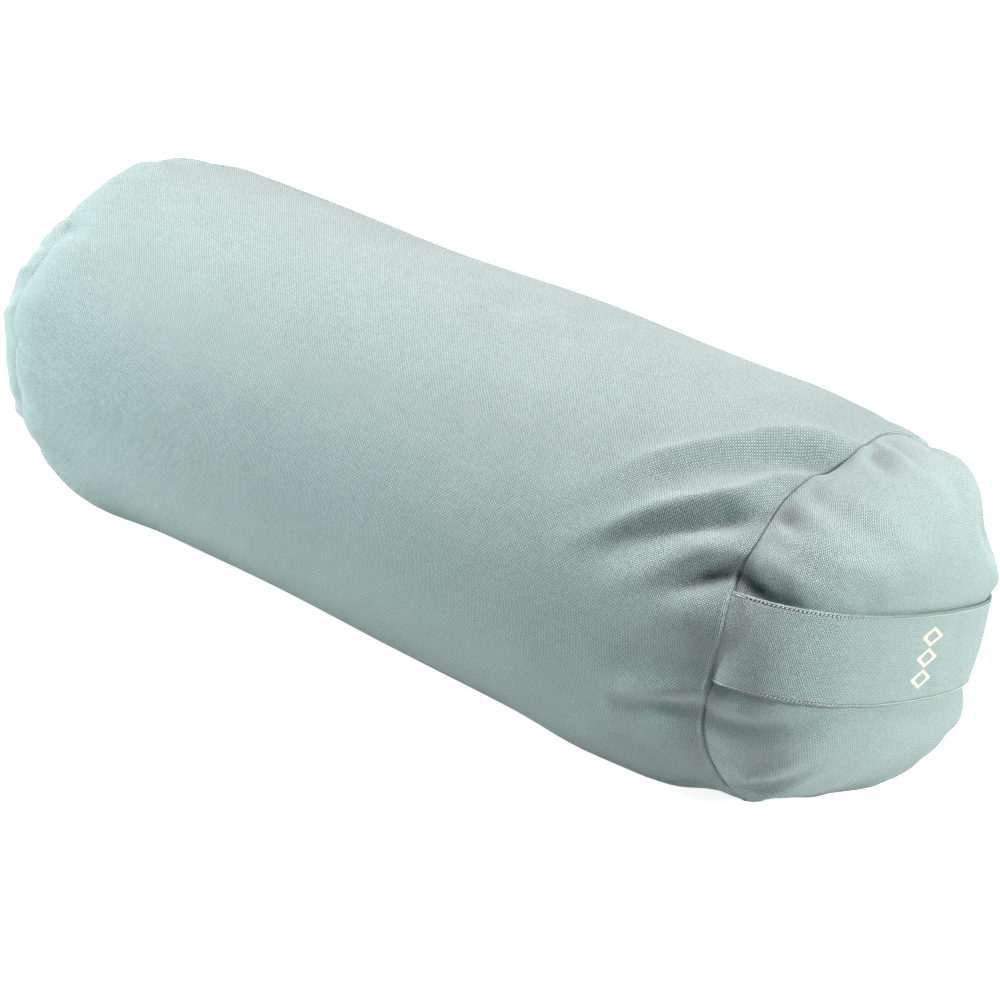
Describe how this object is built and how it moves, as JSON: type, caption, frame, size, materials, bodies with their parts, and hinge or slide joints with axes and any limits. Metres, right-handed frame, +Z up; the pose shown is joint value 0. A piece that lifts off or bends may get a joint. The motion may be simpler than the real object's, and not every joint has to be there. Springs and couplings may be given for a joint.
{
  "type": "yoga bolster",
  "caption": "Round stuffed canvas bolster with domed ends, a flat carry strap across an end and a zip along the side of its removable cover.",
  "frame": {"origin": "middle of the flattened underside, halfway between the two end seams, on the surface that the bolster rests on", "axes": "+X along the bolster towards the end with the carry strap, +Z up, +Y towards the side with the zip"},
  "size_m": [0.6567, 0.224, 0.2024],
  "materials": {
    "canvas": "matt plain-weave cotton canvas, grey-green",
    "strap_canvas": "the same canvas, folded, with topstitched edges",
    "topstitch_thread": "twisted cotton thread",
    "overlock_thread": "looped overlock thread",
    "zip_tape": "woven tape, matt",
    "zip_teeth": "moulded, half matt",
    "zip_metal": "lacquered in the cloth's colour, half gloss",
    "lining_cotton": "unbleached cotton",
    "kapok_fibre": "loose fluffy fibre"
  },
  "bodies": {
    "cover": {"cover_tube": "canvas", "cover_end_front": "canvas", "cover_end_rear": "canvas", "zip_stitch_upper": "topstitch_thread", "zip_stitch_lower": "topstitch_thread", "zip_bar_tack_front": "topstitch_thread", "zip_bar_tack_rear": "topstitch_thread", "front_seam_overlock": "overlock_thread", "rear_seam_overlock": "overlock_thread", "zip_tape_upper": "zip_tape", "zip_tape_lower": "zip_tape", "zip_teeth_upper": "zip_teeth", "zip_teeth_lower": "zip_teeth", "zip_top_stop_upper": "zip_metal", "zip_top_stop_lower": "zip_metal", "zip_bottom_stop": "zip_metal", "inner_case_tube": "lining_cotton", "inner_case_end_front": "lining_cotton", "inner_case_end_rear": "lining_cotton", "filling": "kapok_fibre"},
    "carry_handle": {"carry_handle": "strap_canvas", "handle_stitch_upper": "topstitch_thread", "handle_stitch_lower": "topstitch_thread"},
    "zip_slider": {"zip_slider": "zip_metal"},
    "zip_pull_tab": {"zip_pull_tab": "zip_metal"}
  },
  "joints": [
    {"name": "handle_lift", "type": "slide", "parent": "cover", "child": "carry_handle", "axis": [0.9961, 0.0623, 0.0623], "range_m": [0, 0.018], "stiffness_N_per_m": 60},
    {"name": "zip_slide", "type": "slide", "parent": "cover", "child": "zip_slider", "axis": [-1, 0, 0], "range_m": [0, 0.317]},
    {"name": "pull_tab_flip", "type": "hinge", "parent": "zip_slider", "child": "zip_pull_tab", "pos_m": [0.1597, 0.11225, 0.09875], "axis": [0, 0, -1], "range_deg": [0, 180]}
  ]
}
